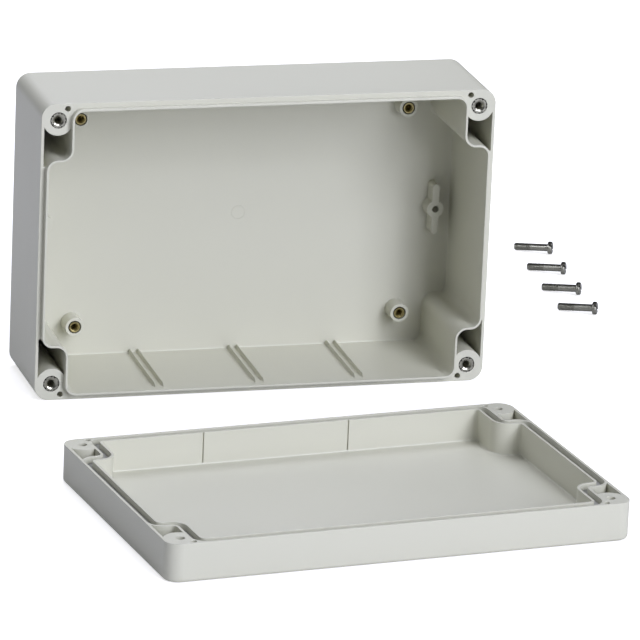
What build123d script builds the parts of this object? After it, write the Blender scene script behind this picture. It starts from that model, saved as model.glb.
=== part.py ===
from build123d import *
import math
import os

# Plastic project box, opened: the base stands on its long side with its mouth to the front (-Y), the lid
# lies in front of it with its inside up, and the four lid screws lie loose on the floor to the right.
# Lengths are in millimetres. The origin is the middle of the side that the base stands on, and +Z is up.
#
# Base and lid are each modelled as they leave the mould, with the mouth up, and are then laid in place.
# In those moulding frames x runs along the width, y along the height and z from the outer face to the rim.
# Distances called "in" are measured from the outer faces of the two side walls that meet at a corner.

# Overall size
box_width = 222.0
box_height = 146.0
base_depth = 57.0
lid_depth = 18.0
corner_radius = 7.0
outer_edge_radius = 1.5

# Seal: the tongue of the base and the groove of the lid share one centre line round the mouth
seal_in = 3.0
tongue_thickness = 1.0
tongue_height = 3.0
groove_clearance = 1.3
groove_rib_thickness = 1.2
gasket_thickness = 2.0
gasket_squeeze = 0.3
gasket_side_clearance = 0.1

# Corner: a screw boss, then an open pocket, both outside the S-shaped seal wall
boss_in = 8.1
boss_radius = 7.4
boss_seal_overlap = 0.7
pocket_length = 11.8
pocket_wall = 1.4
pocket_tip_length = 3.2
seal_neck_radius = 4.8
seal_nose_radius = 5.4
seal_foot_radius = 5.0

# Base walls
base_floor = 3.0
inner_draft_angle = 0.5
inner_floor_radius = 0.6

# Base corners
corner_insert_radius = 3.9
corner_insert_length = 10.0
corner_insert_bore = 1.65
corner_insert_mouth = 2.7
screw_relief_radius = 2.2
screw_relief_length = 6.0
wall_hole_radius = 2.25
pin_hole_radius = 1.4
pin_hole_depth = 8.0
pin_hole_side_in = 12.5
pin_hole_edge_in = 2.6

# Board standoffs on the base's floor
standoff_side_in = 29.6
standoff_edge_in = 21.0
standoff_radius = 4.6
standoff_height = 9.0
standoff_draft_angle = 1.0
standoff_insert_radius = 3.15
standoff_insert_length = 6.5
standoff_insert_bore = 1.5
standoff_insert_mouth = 2.2
standoff_relief_length = 1.5

# Room round the inserts of both kinds
insert_fit = 0.03

# Winged side bosses, one at each end of the floor
side_boss_in = 13.4
side_boss_radius = 4.25
side_boss_height = 8.0
side_boss_bore = 1.65
side_boss_bore_depth = 7.0
wing_width = 3.5
wing_span = 25.0
side_boss_draft_angle = 1.5

# Pairs of guide ribs along the two long walls of the base
rib_pair_count = 3
rib_pair_spacing = 49.5
rib_gap = 4.1
rib_width = 1.7
rib_height = 1.8
rib_flank_angle = 18.0
rib_point_length = 3.5
rib_end_below_ledge = 1.0
rib_root = 1.0

# Lid
lid_plate = 2.6
lid_inner_floor_radius = 0.7
lid_screw_hole_radius = 2.1
counterbore_radius = 3.8
counterbore_depth = 9.0
slit_width = 1.0
slit_depth = 0.7
slit_places = [-43.5, 28.2]

# Lid screws
screw_head_radius = 3.25
screw_head_height = 2.1
screw_head_edge = 0.6
screw_length = 18.0
screw_thread_radius = 2.0
screw_thread_length = 8.0
screw_waist_radius = 1.8
screw_tip_chamfer = 0.4
screw_slot_width = 0.9
screw_slot_depth = 1.1
screw_slot_turn = -37.0

# Where the loose pieces lie
lid_turn = 6.07
lid_shift = -6.0
lid_distance = 83.7
screw_turn = -30.0
screw_tip_places = [(79.4, 176.7), (75.5, 141.4), (72.6, 106.6), (70.8, 73.8)]

# Values that follow from the ones above
half_width = box_width / 2
half_height = box_height / 2
half_tongue = tongue_thickness / 2
half_groove = half_tongue + groove_clearance
groove_depth = tongue_height + gasket_thickness - gasket_squeeze
seal_side_in = boss_in + boss_radius - boss_seal_overlap
seal_edge_in = boss_in + boss_radius + pocket_length
pocket_end_in = seal_edge_in + pocket_tip_length
boss_edge_in = boss_in + boss_radius
wall_hole_edge_in = (boss_edge_in + seal_edge_in - half_tongue) / 2
wall_growth = math.tan(math.radians(inner_draft_angle)) * (base_depth + tongue_height - base_floor)
corner_signs = [(1, 1), (-1, 1), (-1, -1), (1, -1)]


def corner_points(side_in, edge_in):
    # The four places that lie the same way in from the outer faces, one at each corner.
    return [(sx * (half_width - side_in), sy * (half_height - edge_in)) for sx, sy in corner_signs]


def at_corners(side_in, edge_in, z=0.0):
    return [Location((x, y, z)) for x, y in corner_points(side_in, edge_in)]


def outer_outline():
    return RectangleRounded(box_width, box_height, corner_radius)


def seal_corner(inward):
    # One corner of the seal line, moved inward by a distance: it leaves the short wall in the neck,
    # turns round the pocket in the nose, passes the boss and meets the long wall in the foot.
    neck = seal_neck_radius - inward
    nose = seal_nose_radius + inward
    foot = seal_foot_radius - inward
    neck_x = half_width - seal_in - seal_neck_radius
    neck_y = half_height - seal_edge_in - seal_neck_radius
    nose_x = half_width - seal_side_in + seal_nose_radius
    nose_y = half_height - seal_edge_in + seal_nose_radius
    foot_x = half_width - seal_side_in - seal_foot_radius
    foot_y = half_height - seal_in - seal_foot_radius
    neck_arc = CenterArc((neck_x, neck_y), neck, 0, 90)
    nose_arc = CenterArc((nose_x, nose_y), nose, 180, 90)
    foot_arc = CenterArc((foot_x, foot_y), foot, 0, 90)
    shoulder = Line((neck_x, neck_y + neck), (nose_x, nose_y - nose))
    flank = Line((nose_x - nose, nose_y), (foot_x + foot, foot_y))
    return [neck_arc, shoulder, nose_arc, flank, foot_arc]


def seal_outline(inward):
    # The closed seal line round the whole mouth, moved inward by a distance, as a flat face.
    upper_right = seal_corner(inward)
    upper_left = [mirror(edge, about=Plane.YZ) for edge in upper_right]
    upper = upper_right + upper_left
    lower = [mirror(edge, about=Plane.XZ) for edge in upper]
    wall_x = half_width - seal_in - inward
    wall_y = half_height - seal_in - inward
    end_x = half_width - seal_side_in - seal_foot_radius
    end_y = half_height - seal_edge_in - seal_neck_radius
    straights = [
        Line((-end_x, wall_y), (end_x, wall_y)),
        Line((-end_x, -wall_y), (end_x, -wall_y)),
        Line((-wall_x, -end_y), (-wall_x, end_y)),
        Line((wall_x, -end_y), (wall_x, end_y)),
    ]
    return make_face([piece.edge() for piece in upper + lower + straights])


def pocket_outline(seal_gap):
    # The four corner pockets: between the outer wall, the boss and the seal wall.
    inside = RectangleRounded(box_width - 2 * pocket_wall, box_height - 2 * pocket_wall,
                              corner_radius - pocket_wall)
    window_width = seal_side_in
    window_height = pocket_end_in - boss_in
    window_side_in = window_width / 2
    window_edge_in = boss_in + window_height / 2
    windows = Sketch() + [
        place * Rectangle(window_width, window_height)
        for place in at_corners(window_side_in, window_edge_in)
    ]
    bosses = Sketch() + [place * Circle(boss_radius) for place in at_corners(boss_in, boss_in)]
    return (inside & windows) - bosses - seal_outline(-seal_gap)


def blank(depth):
    # A solid moulding with its outer face down and that face's border rounded.
    block = extrude(outer_outline(), depth)
    return fillet(block.faces().sort_by(Axis.Z)[0].edges(), outer_edge_radius)


def cylinders(places, radius, length):
    # Equal upright cylinders that start at each place and run up.
    tool = Cylinder(radius, length, align=(Align.CENTER, Align.CENTER, Align.MIN))
    return [place * tool for place in places]


def make_base_shell():
    inner_depth = base_depth + tongue_height - base_floor
    tongue = Pos(0, 0, base_floor) * extrude(seal_outline(-half_tongue), inner_depth)
    cavity_floor = Pos(0, 0, base_floor) * seal_outline(half_tongue + wall_growth)
    cavity = extrude(cavity_floor, inner_depth, taper=-inner_draft_angle)
    cavity = fillet(cavity.faces().sort_by(Axis.Z)[0].edges(), inner_floor_radius)
    pockets = Pos(0, 0, base_floor) * extrude(pocket_outline(half_tongue), base_depth)
    return blank(base_depth) - pockets + tongue - cavity


def base_corner_cuts():
    # Insert seat with room for the screw's end, wall-mount hole and pin-hole at every corner.
    seat_z = base_depth - corner_insert_length
    seats = at_corners(boss_in, boss_in, seat_z)
    reliefs = at_corners(boss_in, boss_in, seat_z - screw_relief_length)
    wall_holes = at_corners(boss_in, wall_hole_edge_in)
    pin_holes = at_corners(pin_hole_side_in, pin_hole_edge_in, base_depth - pin_hole_depth)
    return (
        cylinders(seats, corner_insert_radius + insert_fit, corner_insert_length)
        + cylinders(reliefs, screw_relief_radius, screw_relief_length)
        + cylinders(wall_holes, wall_hole_radius, base_floor)
        + cylinders(pin_holes, pin_hole_radius, pin_hole_depth)
    )


def make_standoff():
    # A drafted post on the floor with a seat for its insert and a relief under it.
    root_growth = math.tan(math.radians(standoff_draft_angle)) * standoff_height
    post = Cone(standoff_radius + root_growth, standoff_radius, standoff_height,
                align=(Align.CENTER, Align.CENTER, Align.MIN))
    seat_z = standoff_height - standoff_insert_length
    seat = cylinders([Location((0, 0, seat_z))], standoff_insert_radius + insert_fit,
                     standoff_insert_length)
    relief = cylinders([Location((0, 0, seat_z - standoff_relief_length))], standoff_insert_bore,
                       standoff_relief_length)
    return post - seat - relief


def make_side_boss():
    # A round boss with a blind hole and a wing above and below it, all drafted.
    growth = math.tan(math.radians(side_boss_draft_angle)) * side_boss_height
    wings = Rot(0, 0, 90) * SlotOverall(wing_span + 2 * growth, wing_width + 2 * growth)
    outline = wings + Circle(side_boss_radius + growth)
    boss = extrude(outline, side_boss_height, taper=side_boss_draft_angle)
    bore_z = side_boss_height - side_boss_bore_depth
    return boss - cylinders([Location((0, 0, bore_z))], side_boss_bore, side_boss_bore_depth)


def make_guide_rib():
    # One rib of the upper long wall, square to its drafted face. It is widest at its root, and its end
    # towards the mouth comes to a point.
    length = base_depth - rib_end_below_ledge - base_floor
    half = rib_width / 2
    outline = Polyline(
        (half, 0), (half, length - rib_point_length), (0, length),
        (-half, length - rib_point_length), (-half, 0), close=True,
    )
    foot = extrude(make_face(outline.edges()), -rib_root)
    crest = extrude(make_face(outline.edges()), rib_height, taper=rib_flank_angle)
    draft = math.radians(inner_draft_angle)
    wall_y = half_height - seal_in - half_tongue - wall_growth
    inward = (0, -math.cos(draft), math.sin(draft))
    wall_plane = Plane(origin=(0, wall_y, base_floor), x_dir=(1, 0, 0), z_dir=inward)
    return wall_plane.location * (foot + crest)


def make_guide_ribs():
    rib = make_guide_rib()
    middle = (rib_pair_count - 1) / 2
    upper = []
    for pair in range(rib_pair_count):
        pair_x = (pair - middle) * rib_pair_spacing
        upper.append(Pos(pair_x - rib_gap / 2, 0, 0) * rib)
        upper.append(Pos(pair_x + rib_gap / 2, 0, 0) * rib)
    return upper + [mirror(one, about=Plane.XZ) for one in upper]


def make_base():
    shell = make_base_shell() - base_corner_cuts()
    standoff = make_standoff()
    side_boss = make_side_boss()
    standoffs = [
        place * standoff for place in at_corners(standoff_side_in, standoff_edge_in, base_floor)
    ]
    side_x = half_width - side_boss_in
    side_bosses = [Pos(sign * side_x, 0, base_floor) * side_boss for sign in (-1, 1)]
    return shell + standoffs + side_bosses + make_guide_ribs()


def make_lid():
    rib_inward = half_groove + groove_rib_thickness
    groove_z = lid_depth - groove_depth
    groove_ring = seal_outline(-half_groove) - seal_outline(half_groove)
    groove = Pos(0, 0, groove_z) * extrude(groove_ring, groove_depth)
    tray = Pos(0, 0, lid_plate) * extrude(seal_outline(rib_inward), lid_depth - lid_plate)
    tray = fillet(tray.faces().sort_by(Axis.Z)[0].edges(), lid_inner_floor_radius)
    pockets = Pos(0, 0, lid_plate) * extrude(pocket_outline(rib_inward), lid_depth)
    counterbores = cylinders(at_corners(boss_in, boss_in), counterbore_radius, counterbore_depth)
    screw_holes = cylinders(at_corners(boss_in, boss_in), lid_screw_hole_radius, lid_depth)
    pin_places = at_corners(pin_hole_side_in, pin_hole_edge_in, lid_depth - pin_hole_depth)
    pin_holes = cylinders(pin_places, pin_hole_radius, pin_hole_depth)
    return blank(lid_depth) - groove - tray - pockets - counterbores - screw_holes - pin_holes - lid_slits()


def lid_slits():
    # Two narrow upright slits in the inner face of the far long wall.
    wall_y = half_height - seal_in - half_groove - groove_rib_thickness
    height = lid_depth - lid_plate - lid_inner_floor_radius
    slit = Box(slit_width, slit_depth, height, align=(Align.CENTER, Align.MIN, Align.MAX))
    return [Pos(x, wall_y, lid_depth) * slit for x in slit_places]


def make_gasket():
    half_gasket = half_groove - gasket_side_clearance
    ring = seal_outline(-half_gasket) - seal_outline(half_gasket)
    return Pos(0, 0, lid_depth - groove_depth) * extrude(ring, gasket_thickness)


def make_insert(radius, length, bore, mouth):
    # A turned insert with a wide countersunk mouth, its flush face at z = 0.
    mouth_depth = mouth - bore
    profile = Polyline(
        (mouth, 0), (radius, 0), (radius, -length), (bore, -length), (bore, -mouth_depth), close=True,
    )
    section = Plane.XZ * make_face(profile.edges())
    return revolve(section, Axis.Z)


def make_screw():
    # A slotted screw with its tip at x = 0 and its head at the far end of +X.
    head_x = screw_length + screw_head_height
    profile = Polyline(
        (0, 0), (0, screw_thread_radius - screw_tip_chamfer), (screw_tip_chamfer, screw_thread_radius),
        (screw_thread_length, screw_thread_radius), (screw_thread_length, screw_waist_radius),
        (screw_length, screw_waist_radius), (screw_length, screw_head_radius),
        (head_x - screw_head_edge, screw_head_radius), (head_x, screw_head_radius - screw_head_edge),
        (head_x, 0), close=True,
    )
    body = revolve(make_face(profile.edges()), Axis.X)
    slot = Box(screw_slot_depth, 2 * screw_head_radius, screw_slot_width,
               align=(Align.MAX, Align.CENTER, Align.CENTER))
    return body - Pos(head_x, 0, 0) * Rot(screw_slot_turn, 0, 0) * slot


def lay_screw(screw, place):
    # The screw rests on its tip and on the rim of its head, so it lies a little head-up.
    run = screw_length - screw_tip_chamfer
    rise = screw_head_radius - screw_thread_radius
    tilt = math.atan2(rise, run)
    lift = screw_thread_radius * math.cos(tilt) - screw_tip_chamfer * math.sin(tilt)
    leaning = Pos(0, 0, lift) * Rot(0, -math.degrees(tilt), 0) * screw
    x, y = place
    return Pos(half_width + x, y, 0) * Rot(0, 0, screw_turn) * leaning


def stand_base(piece):
    # From the base's moulding frame to its place: on its long side, mouth to the front.
    return Pos(0, base_depth / 2, half_height) * Rot(90, 0, 0) * piece


def lay_lid(piece):
    # From the lid's moulding frame to its place in front of the base.
    turn = math.radians(lid_turn)
    reach = half_height * math.cos(turn) + half_width * math.sin(turn)
    lid_y = -(base_depth / 2 + tongue_height + lid_distance + reach)
    return Pos(lid_shift, lid_y, 0) * Rot(0, 0, lid_turn) * piece


def make_pieces():
    pieces = {"base": stand_base(make_base()), "lid": lay_lid(make_lid())}
    pieces["lid_gasket"] = lay_lid(make_gasket())

    corner_insert = make_insert(corner_insert_radius, corner_insert_length, corner_insert_bore,
                                corner_insert_mouth)
    for number, place in enumerate(at_corners(boss_in, boss_in, base_depth), start=1):
        pieces[f"corner_insert_{number}"] = stand_base(place * corner_insert)

    standoff_insert = make_insert(standoff_insert_radius, standoff_insert_length,
                                  standoff_insert_bore, standoff_insert_mouth)
    standoff_top = base_floor + standoff_height
    standoff_places = at_corners(standoff_side_in, standoff_edge_in, standoff_top)
    for number, place in enumerate(standoff_places, start=1):
        pieces[f"standoff_insert_{number}"] = stand_base(place * standoff_insert)

    screw = make_screw()
    for number, place in enumerate(screw_tip_places, start=1):
        pieces[f"lid_screw_{number}"] = lay_screw(screw, place)
    return pieces


os.makedirs("parts", exist_ok=True)
for name, piece in make_pieces().items():
    export_step(piece, f"parts/{name}.step")
    print(name, "volume", round(piece.volume, 1))
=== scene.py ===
import math
import bpy
from mathutils import Matrix, Vector


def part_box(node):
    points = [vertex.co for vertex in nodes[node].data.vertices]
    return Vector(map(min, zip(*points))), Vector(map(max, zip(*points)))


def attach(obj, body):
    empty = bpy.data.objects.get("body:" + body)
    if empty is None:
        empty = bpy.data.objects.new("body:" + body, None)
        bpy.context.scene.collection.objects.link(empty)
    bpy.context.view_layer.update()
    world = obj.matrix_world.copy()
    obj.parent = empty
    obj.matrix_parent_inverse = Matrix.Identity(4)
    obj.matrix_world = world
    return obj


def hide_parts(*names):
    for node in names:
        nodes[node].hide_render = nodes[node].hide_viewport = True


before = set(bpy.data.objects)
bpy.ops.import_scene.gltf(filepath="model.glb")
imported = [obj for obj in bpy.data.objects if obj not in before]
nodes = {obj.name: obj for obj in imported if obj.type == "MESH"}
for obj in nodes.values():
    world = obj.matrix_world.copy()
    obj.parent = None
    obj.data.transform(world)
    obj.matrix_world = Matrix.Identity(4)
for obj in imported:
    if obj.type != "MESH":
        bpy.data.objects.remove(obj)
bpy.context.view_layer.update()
print("frame loaded:", len(nodes), "nodes")

# lengths of pieces and finishes are in mm, the studio's are in metres, and noise scales are per metre
mm = 0.001

# the camera stands where the photograph was taken from: place in metres, turn in degrees, the lens in mm
view = {
    "place": (-0.72552, -2.66268, 0.90220),
    "turn": (72.404, -2.304, -15.240),
    "lens": 337.5,
    "sensor": 36.0,
    "farEnd": 50.0,
}


def addCamera():
    data = bpy.data.cameras.new("camera")
    data.lens = view["lens"]
    data.sensor_width = view["sensor"]
    data.clip_end = view["farEnd"]
    camera = bpy.data.objects.new("camera", data)
    camera.location = view["place"]
    camera.rotation_euler = [math.radians(angle) for angle in view["turn"]]
    bpy.context.scene.collection.objects.link(camera)
    bpy.context.scene.camera = camera


# a socket that takes part in sums: each operator adds the Math node that it stands for
class Value:
    def __init__(self, layout, socket):
        self.layout = layout
        self.socket = socket

    def combine(self, operation, first, second):
        node = self.layout.add("ShaderNodeMath", {"operation": operation}, {0: first, 1: second})
        return Value(self.layout, node.outputs["Value"])

    def __add__(self, other):
        return self.combine("ADD", self, other)

    def __radd__(self, other):
        return self.combine("ADD", other, self)

    def __mul__(self, other):
        return self.combine("MULTIPLY", self, other)

    def __rmul__(self, other):
        return self.combine("MULTIPLY", other, self)


# the nodes of one material or of the world, while they are being laid
class Layout:
    def __init__(self, owner, outputKind):
        owner.use_nodes = True
        self.owner = owner
        self.tree = owner.node_tree
        self.tree.nodes.clear()
        self.output = self.add(outputKind)

    def add(self, kind, settings=None, inputs=None):
        node = self.tree.nodes.new(kind)
        for name, setting in (settings or {}).items():
            setattr(node, name, setting)
        for name, given in (inputs or {}).items():
            if isinstance(given, Value):
                given = given.socket
            if isinstance(given, bpy.types.NodeSocket):
                self.tree.links.new(given, node.inputs[name])
            else:
                node.inputs[name].default_value = given
        return node

    def show(self, shader):
        self.tree.links.new(shader.outputs[0], self.output.inputs["Surface"])


# a material, with the patterns and bumps that the finishes of the box are made of
class Finish(Layout):
    def __init__(self, name):
        super().__init__(bpy.data.materials.new(name), "ShaderNodeOutputMaterial")

    def noise(self, scale, detail):
        coords = self.add("ShaderNodeTexCoord")
        node = self.add("ShaderNodeTexNoise", None, {
            "Vector": coords.outputs["Object"], "Scale": scale, "Detail": detail})
        return Value(self, node.outputs["Fac"])

    def mixColour(self, factor, first, second):
        # a Mix node set to colours takes them at 6 and 7 and gives its result at 2
        node = self.add("ShaderNodeMix", {"data_type": "RGBA"}, {0: factor, 6: first, 7: second})
        return node.outputs[2]

    def roundEdges(self, radius, samples):
        node = self.add("ShaderNodeBevel", {"samples": samples}, {"Radius": radius * mm})
        return node.outputs["Normal"]

    def bump(self, height, strength, depth, under=None):
        inputs = {"Height": height, "Strength": strength, "Distance": depth * mm}
        if under is not None:
            inputs["Normal"] = under
        node = self.add("ShaderNodeBump", None, inputs)
        return node.outputs["Normal"]

    def finishWith(self, inputs):
        self.show(self.add("ShaderNodeBsdfPrincipled", None, inputs))
        return self.owner


plastic = {
    "colour": (0.632, 0.628, 0.522, 1.0),
    "deeper": (0.607, 0.603, 0.499, 1.0),
    "cloudScale": 9.0,
    "cloudDetail": 3.0,
    "roughness": 0.33,
    "roughnessSpread": 0.06,
    "grainScale": 2600.0,
    "grainDetail": 1.0,
    "grainStrength": 0.12,
    "grainDepth": 0.04,
    "edge": 0.4,
    "edgeSamples": 6,
}


def plasticMaterial():
    finish = Finish("grey_plastic")
    cloud = finish.noise(plastic["cloudScale"], plastic["cloudDetail"])
    grain = finish.noise(plastic["grainScale"], plastic["grainDetail"])
    edges = finish.roundEdges(plastic["edge"], plastic["edgeSamples"])
    return finish.finishWith({
        "Base Color": finish.mixColour(cloud, plastic["deeper"], plastic["colour"]),
        "Roughness": plastic["roughness"] + plastic["roughnessSpread"] * cloud,
        "Normal": finish.bump(grain, plastic["grainStrength"], plastic["grainDepth"], edges),
    })


metal = {
    "patchScale": 900.0,
    "patchDetail": 2.0,
    "roughnessSpread": 0.1,
    # near black painted shade for the metal's wall deep in the gap round an insert
    "paintedGapShade": (0.03, 0.028, 0.015, 1.0),
}


def metalMaterial(name, tones):
    finish = Finish(name)
    patches = finish.noise(metal["patchScale"], metal["patchDetail"])
    skin = finish.mixColour(patches, tones["darker"], tones["colour"])
    # the shade attribute is 1 where the skin lies deep in a gap, and 0 elsewhere; there the skin is painted
    # near black as painted shade
    shade = finish.add("ShaderNodeAttribute", {"attribute_name": "shade"})
    return finish.finishWith({
        "Base Color": finish.mixColour(shade.outputs["Fac"], skin, metal["paintedGapShade"]),
        "Metallic": 1.0,
        "Roughness": tones["roughness"] + metal["roughnessSpread"] * patches,
    })


# the groups of pieces that a lamp can be kept to
groups = {name: bpy.data.collections.new(name) for name in ("mouldings", "inserts", "screws")}

# a lamp's turn is in degrees from the front towards +X, and its height in degrees above the floor
studio = {
    "aim": (0.0, -0.1, 0.05),
    "lamps": {
        "frontLow": dict(turn=20, height=12, away=4.0, width=1.3, watts=45.5),
        "front": dict(turn=5, height=18, away=4.0, width=1.6, watts=8.3),
        "frontHigh": dict(turn=31, height=30, away=4.0, width=1.3, watts=57.5),
        "frontTop": dict(turn=25, height=45, away=4.0, width=1.3, watts=25.5),
        "frontPeak": dict(turn=20, height=60, away=4.0, width=1.3, watts=21.5),
        "left": dict(turn=-85, height=25, away=2.4, width=1.2, watts=7.2),
        # from behind only the mouldings are lit, so the metal keeps its dark upper edges
        "back": dict(turn=180, height=55, away=1.1, width=0.7, watts=5.4, only="mouldings"),
        "backLow": dict(turn=180, height=35, away=1.1, width=0.7, watts=0.4, only="mouldings"),
        "backLeft": dict(turn=-150, height=60, away=0.9, width=0.5, watts=0.9, only="mouldings"),
        # the small bright spots on the metal
        "glint": dict(turn=60, height=25, away=1.2, width=0.24, watts=4.6, only="inserts"),
        "sheen": dict(turn=-52, height=45, away=1.5, width=0.34, watts=9.2, only="screws", throughBase=True),
    },
    "lampColour": (0.98, 1.0, 1.15),
    "fill": 0.03,
    "backdrop": 1.0,
    "backdropColour": (1.0, 1.0, 1.0, 1.0),
    "floorColour": (0.68, 0.68, 0.68, 1.0),
    "floorGlow": 0.7,
    "floorSize": 30.0,
    "floorDrop": 0.0002,
}


def addLamp(name, lamp):
    data = bpy.data.lights.new(name, "AREA")
    data.size = lamp["width"]
    data.energy = lamp["watts"]
    data.color = studio["lampColour"]
    turn, height = math.radians(lamp["turn"]), math.radians(lamp["height"])
    out = Vector((math.sin(turn) * math.cos(height), -math.cos(turn) * math.cos(height), math.sin(height)))
    holder = bpy.data.objects.new(name, data)
    holder.location = Vector(studio["aim"]) + lamp["away"] * out
    holder.rotation_euler = (-out).to_track_quat("-Z", "Y").to_euler()
    if "only" in lamp:
        holder.light_linking.receiver_collection = groups[lamp["only"]]
    if "throughBase" in lamp:
        # this lamp's light is stopped by its own group alone, so that the base leaves it to the screws
        holder.light_linking.blocker_collection = groups[lamp["only"]]
    bpy.context.scene.collection.objects.link(holder)


def addWorld():
    world = bpy.data.worlds.new("studio")
    bpy.context.scene.world = world
    sky = Layout(world, "ShaderNodeOutputWorld")
    path = sky.add("ShaderNodeLightPath")
    # the camera sees the backdrop's brightness, and the pieces get the faint fill
    strength = sky.add("ShaderNodeMix", None, {
        "Factor": path.outputs["Is Camera Ray"], "A": studio["fill"], "B": studio["backdrop"]})
    sky.show(sky.add("ShaderNodeBackground", None, {
        "Color": studio["backdropColour"], "Strength": strength.outputs[0]}))


def addFloor():
    bpy.ops.object.select_all(action="DESELECT")
    bpy.ops.mesh.primitive_plane_add(size=studio["floorSize"], location=(0, 0, -studio["floorDrop"]))
    floor = bpy.context.object
    floor.name = "floor"
    finish = Finish("floor_white")
    path = finish.add("ShaderNodeLightPath")
    paper = finish.add("ShaderNodeBsdfDiffuse", None, {"Color": studio["floorColour"]})
    glow = finish.add("ShaderNodeEmission", None, {"Strength": studio["floorGlow"]})
    both = finish.add("ShaderNodeAddShader", None, {0: paper.outputs[0], 1: glow.outputs[0]})
    # only the camera sees the glow
    finish.show(finish.add("ShaderNodeMixShader", None, {
        0: path.outputs["Is Camera Ray"], 1: paper.outputs[0], 2: both.outputs[0]}))
    floor.data.materials.append(finish.owner)
    groups["mouldings"].objects.link(floor)


bpy.context.scene.view_settings.view_transform = "Standard"
addCamera()
for name, lamp in studio["lamps"].items():
    addLamp(name, lamp)
addWorld()
addFloor()
print("camera, lamps and floor in place")


def dress(name, material):
    # a CAD piece keeps its shape and gets a better material
    mesh = nodes[name].data
    mesh.materials.clear()
    mesh.materials.append(material)
    groups["mouldings"].objects.link(nodes[name])


greyPlastic = plasticMaterial()
for name in ("base", "lid"):
    dress(name, greyPlastic)
print("mouldings set")

gasket = {
    "colour": (0.46, 0.46, 0.42, 1.0),
    "deeper": (0.22, 0.22, 0.20, 1.0),
    "cellScale": 1500.0,
    "cellDetail": 2.0,
    "cellStrength": 0.4,
    "cellDepth": 0.1,
    "roughness": 0.8,
}


def foamMaterial():
    finish = Finish("seal_foam")
    cells = finish.noise(gasket["cellScale"], gasket["cellDetail"])
    return finish.finishWith({
        "Base Color": finish.mixColour(cells, gasket["deeper"], gasket["colour"]),
        "Roughness": gasket["roughness"],
        "Normal": finish.bump(cells, gasket["cellStrength"], gasket["cellDepth"]),
    })


dress("lid_gasket", foamMaterial())
print("gasket set")

# from a piece that is built on +Z to one that faces out of the base's mouth
outOfMouth = Matrix.Rotation(math.radians(90), 4, "X")


def numbered(kind):
    return sorted(name for name in nodes if name.startswith(kind))


def selectOnly(piece):
    bpy.ops.object.select_all(action="DESELECT")
    piece.select_set(True)
    bpy.context.view_layer.objects.active = piece


def editMesh(piece, mode):
    selectOnly(piece)
    bpy.ops.object.mode_set(mode="EDIT")
    bpy.ops.mesh.select_mode(type=mode)
    bpy.ops.mesh.select_all(action="SELECT")


def leaveEdit():
    # every face of the edited mesh is turned outwards first
    bpy.ops.mesh.select_all(action="SELECT")
    bpy.ops.mesh.normals_make_consistent(inside=False)
    bpy.ops.object.mode_set(mode="OBJECT")


def applyAll(piece):
    bpy.context.view_layer.objects.active = piece
    for modifier in list(piece.modifiers):
        bpy.ops.object.modifier_apply(modifier=modifier.name)


def smooth(piece, angle):
    selectOnly(piece)
    bpy.ops.object.shade_smooth_by_angle(angle=math.radians(angle))


def join(first, second):
    selectOnly(first)
    second.select_set(True)
    bpy.ops.object.join()


def standFor(piece, node, material, group):
    piece.name = f"{node}_seen"
    piece.data.materials.clear()
    piece.data.materials.append(material)
    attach(piece, "root")
    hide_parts(node)
    groups[group].objects.link(piece)


def copyMoved(piece, move):
    twin = piece.copy()
    twin.data = piece.data.copy()
    twin.data.transform(Matrix.Translation(move))
    bpy.context.scene.collection.objects.link(twin)
    return twin


def turned(name, outline, sides):
    # a round piece grown along +Z: each (radius, height) pair in mm is the next ring of its skin
    (radius, height), *rings = outline
    bpy.ops.object.select_all(action="DESELECT")
    bpy.ops.mesh.primitive_circle_add(vertices=sides, radius=radius * mm, fill_type="NGON")
    piece = bpy.context.object
    piece.name = name
    editMesh(piece, "FACE")
    bpy.ops.transform.translate(value=(0, 0, height * mm))
    for nextRadius, nextHeight in rings:
        step = (0, 0, (nextHeight - height) * mm)
        bpy.ops.mesh.extrude_region_move(TRANSFORM_OT_translate={"value": step})
        ratio = nextRadius / radius
        bpy.ops.transform.resize(value=(ratio, ratio, 1), center_override=(0, 0, 0))
        radius, height = nextRadius, nextHeight
    leaveEdit()
    return piece


# where a thread's crest and its far foot lie, as shares of the pitch, and its steps in one turn
threadForm = {
    "crest": 0.42,
    "foot": 0.84,
    "steps": 24,
}


def helix(root, sizes, start, length):
    # a thread's ridge round +Z, with its root at the given radius
    bpy.ops.object.select_all(action="DESELECT")
    bpy.ops.mesh.primitive_circle_add(vertices=3, radius=root * mm)
    ridge = bpy.context.object
    pitch = sizes["pitch"]
    corners = (
        (root, start),
        (sizes["thread"], start + threadForm["crest"] * pitch),
        (root, start + threadForm["foot"] * pitch),
    )
    for vertex, (reach, height) in zip(ridge.data.vertices, corners):
        vertex.co = (reach * mm, 0, height * mm)
    screw = ridge.modifiers.new("screw", "SCREW")
    screw.screw_offset = pitch * mm
    screw.iterations = round(length / pitch)
    screw.steps = threadForm["steps"]
    screw.render_steps = threadForm["steps"]
    applyAll(ridge)
    editMesh(ridge, "VERT")
    bpy.ops.mesh.fill_holes(sides=3)
    leaveEdit()
    return ridge


# the sizes that both kinds of insert share
insertForm = {
    "pitch": 0.6,
    "sidesPerTooth": 4,
    "wornSpots": 5,
    "skinDepth": 0.2,
    "faceFall": 0.04,
    "edgeWidth": 0.08,
    "edgeDepth": 0.05,
    "endWall": 0.3,
    "threadSink": 0.02,
    "threadGap": 0.2,
    "threadSpare": 0.8,
    "gapStart": 0.1,
    "smoothAngle": 32,
}

# slope is the countersink's depth for each mm of its width
cornerInsert = insertForm | {
    "radius": 3.9,
    "valley": 3.0,
    "teeth": 14,
    "wear": 0.7,
    "mouth": 2.6,
    "slope": 0.68,
    "bore": 1.75,
    "thread": 1.65,
    "length": 9.6,
    "lip": 0.1,
    "face": 3.85,
}
plated = {
    "colour": (0.54, 0.53, 0.44, 1.0),
    "darker": (0.27, 0.265, 0.22, 1.0),
    "roughness": 0.24,
}

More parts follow.
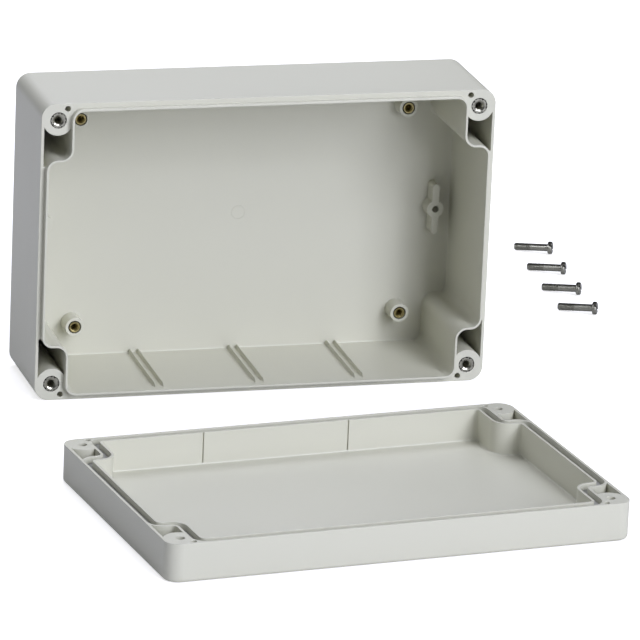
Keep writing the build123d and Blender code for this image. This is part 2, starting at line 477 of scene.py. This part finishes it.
standoffInsert = insertForm | {
    "radius": 3.12,
    "valley": 3.0,
    "teeth": 24,
    "wear": 0.0,
    "mouth": 1.95,
    "slope": 0.8,
    "bore": 1.7,
    "thread": 1.5,
    "length": 6.2,
    "lip": 1.1,
    "face": 2.68,
}
brass = {
    "colour": (0.52, 0.44, 0.21, 1.0),
    "darker": (0.27, 0.225, 0.10, 1.0),
    "roughness": 0.25,
}


def wave(angle):
    # swings from 0 to 1 and back once in each full turn of the angle
    return 0.5 - 0.5 * math.cos(angle)


def knurl(piece, sizes):
    # the outer wall swings between tooth and valley, and some of its teeth are worn flatter
    for vertex in piece.data.vertices:
        reach = vertex.co.xy.length / mm
        if reach > sizes["face"] - sizes["skinDepth"]:
            angle = math.atan2(vertex.co.y, vertex.co.x)
            wear = 1 - sizes["wear"] * wave(angle * sizes["wornSpots"])
            depth = (sizes["radius"] - sizes["valley"]) * wave(angle * sizes["teeth"]) * wear
            vertex.co.xy *= 1 - depth / reach


def paintGapShade(piece, sizes):
    # marks the outer wall below the face's rim, which lies in the gap round the insert, where painted shade
    # darkens it
    shade = piece.data.attributes.new("shade", "FLOAT", "POINT")
    for vertex, item in zip(piece.data.vertices, shade.data):
        outside = vertex.co.xy.length / mm > sizes["mouth"] + sizes["gapStart"]
        item.value = float(outside and vertex.co.z / mm < -sizes["lip"] / 2)


def makeInsert(name, sizes):
    # built below its face, which lies at the origin until the whole is turned to the mouth
    mouth, bore, face = sizes["mouth"], sizes["bore"], sizes["face"]
    countersink = (mouth - bore) * sizes["slope"]
    boreEnd = sizes["endWall"] - sizes["length"]
    piece = turned(name, [
        (sizes["radius"], -sizes["length"]),
        (sizes["radius"], -sizes["lip"]),
        (face, -sizes["lip"]),
        (face - sizes["faceFall"], 0.0),
        (mouth + sizes["edgeWidth"], 0.0),
        (mouth, -sizes["edgeDepth"]),
        (bore, -sizes["edgeDepth"] - countersink),
        (bore, boreEnd),
    ], sizes["teeth"] * sizes["sidesPerTooth"])
    knurl(piece, sizes)
    paintGapShade(piece, sizes)
    threadLength = sizes["length"] - sizes["threadSpare"] - countersink
    join(piece, helix(bore + sizes["threadSink"], sizes, boreEnd + sizes["threadGap"], threadLength))
    piece.data.transform(outOfMouth)
    smooth(piece, sizes["smoothAngle"])
    return piece


def setInserts(kind, sizes, material):
    piece = makeInsert(kind, sizes)
    for name in numbered(kind):
        low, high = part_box(name)
        place = Vector(((low[0] + high[0]) / 2, low[1], (low[2] + high[2]) / 2))
        standFor(copyMoved(piece, place), name, material, "inserts")
    bpy.data.objects.remove(piece)


setInserts("corner_insert", cornerInsert, metalMaterial("plated_insert", plated))
setInserts("standoff_insert", standoffInsert, metalMaterial("brass_insert", brass))
print("inserts set")

lidScrew = {
    "thread": 2.0,
    "core": 1.72,
    "pitch": 0.7,
    "threadLength": 8.4,
    "threadSink": 0.03,
    "threadGap": 0.1,
    "threadSpare": 0.3,
    "tipInset": 0.3,
    "tipLength": 0.35,
    "shank": 1.84,
    "shankStep": 0.2,
    "length": 18.0,
    "head": 3.25,
    "headHeight": 2.1,
    "headEdge": 0.75,
    "headEdgeSteps": 3,
    "headFoot": 0.22,
    "sides": 48,
    "slotWidth": 1.1,
    "slotDepth": 1.25,
    "slotTurn": -37.0,
    "cutterSpare": 1.0,
    "smoothAngle": 30,
    "turn": -30.0,
}
steel = {
    "colour": (0.36, 0.355, 0.30, 1.0),
    "darker": (0.16, 0.158, 0.13, 1.0),
    "roughness": 0.34,
}


def quarterRound(reach, top, radius, steps):
    # (radius, height) pairs over a round edge, from its side to its top
    turns = [math.radians(90 * step / steps) for step in range(steps + 1)]
    return [(reach - radius * (1 - math.cos(turn)), top - radius * (1 - math.sin(turn))) for turn in turns]


def slotCutter(sizes, top):
    # a block that reaches from the slot's bottom to past the head
    bpy.ops.object.select_all(action="DESELECT")
    bpy.ops.mesh.primitive_cube_add(size=mm)
    cutter = bpy.context.object
    spare = sizes["cutterSpare"]
    place = Matrix.Translation((0, 0, (top + (spare - sizes["slotDepth"]) / 2) * mm))
    turn = Matrix.Rotation(math.radians(sizes["slotTurn"]), 4, "Z")
    size = (sizes["slotWidth"], 2 * (sizes["head"] + spare), sizes["slotDepth"] + spare, 1)
    cutter.data.transform(place @ turn @ Matrix.Diagonal(size))
    return cutter


def makeScrew(sizes):
    # built upright, with its tip at the origin
    core, shank, head = sizes["core"], sizes["shank"], sizes["head"]
    headStart, threadEnd = sizes["length"], sizes["threadLength"]
    top = headStart + sizes["headHeight"]
    piece = turned("lid_screw", [
        (core - sizes["tipInset"], 0.0),
        (core, sizes["tipLength"]),
        (core, threadEnd),
        (shank, threadEnd + sizes["shankStep"]),
        (shank, headStart),
        (head - sizes["headFoot"], headStart),
        (head, headStart + sizes["headFoot"]),
        *quarterRound(head, top, sizes["headEdge"], sizes["headEdgeSteps"]),
    ], sizes["sides"])
    cutter = slotCutter(sizes, top)
    cut = piece.modifiers.new("slot", "BOOLEAN")
    cut.object = cutter
    cut.operation = "DIFFERENCE"
    cut.solver = "EXACT"
    applyAll(piece)
    bpy.data.objects.remove(cutter)
    threadLength = threadEnd - sizes["threadSpare"]
    join(piece, helix(core - sizes["threadSink"], sizes, sizes["threadGap"], threadLength))
    smooth(piece, sizes["smoothAngle"])
    return piece


def middleOf(piece):
    corners = [vertex.co for vertex in piece.data.vertices]
    return Vector([(min(c[axis] for c in corners) + max(c[axis] for c in corners)) / 2 for axis in range(3)])


def setScrews(kind, sizes, material):
    piece = makeScrew(sizes)
    lay = Matrix.Rotation(math.radians(90), 4, "Y")
    # the screw rests on its tip and on the rim of its head
    tilt = Matrix.Rotation(-math.atan2(sizes["head"] - sizes["thread"], sizes["length"]), 4, "Y")
    turn = Matrix.Rotation(math.radians(sizes["turn"]), 4, "Z")
    piece.data.transform(turn @ tilt @ lay)
    middle = middleOf(piece)
    for name in numbered(kind):
        low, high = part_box(name)
        place = (Vector(low) + Vector(high)) / 2
        standFor(copyMoved(piece, place - middle), name, material, "screws")
    bpy.data.objects.remove(piece)


setScrews("lid_screw", lidScrew, metalMaterial("screw_steel", steel))
print("screws set")

# place is the ring's X and Z, and the base's floor lies this far below the mouths of its standoffs
mark = {
    "place": (0.3, 73.0),
    "below": 9.0,
    "radius": 3.3,
    "height": 0.13,
    "sides": 64,
    "ringSides": 10,
    "smoothAngle": 60,
}


def addMouldMark(sizes, material):
    # a plain ring left by the mould in the middle of the base's floor
    bpy.ops.object.select_all(action="DESELECT")
    bpy.ops.mesh.primitive_torus_add(
        major_radius=sizes["radius"] * mm, minor_radius=sizes["height"] * mm,
        major_segments=sizes["sides"], minor_segments=sizes["ringSides"])
    ring = bpy.context.object
    ring.name = "base_mould_mark"
    x, z = sizes["place"]
    low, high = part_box("standoff_insert_1")
    floorY = low[1] + sizes["below"] * mm
    ring.data.transform(Matrix.Translation((x * mm, floorY, z * mm)) @ outOfMouth)
    ring.data.materials.append(material)
    smooth(ring, sizes["smoothAngle"])
    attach(ring, "root")
    groups["mouldings"].objects.link(ring)


addMouldMark(mark, greyPlastic)
print("mould mark set")
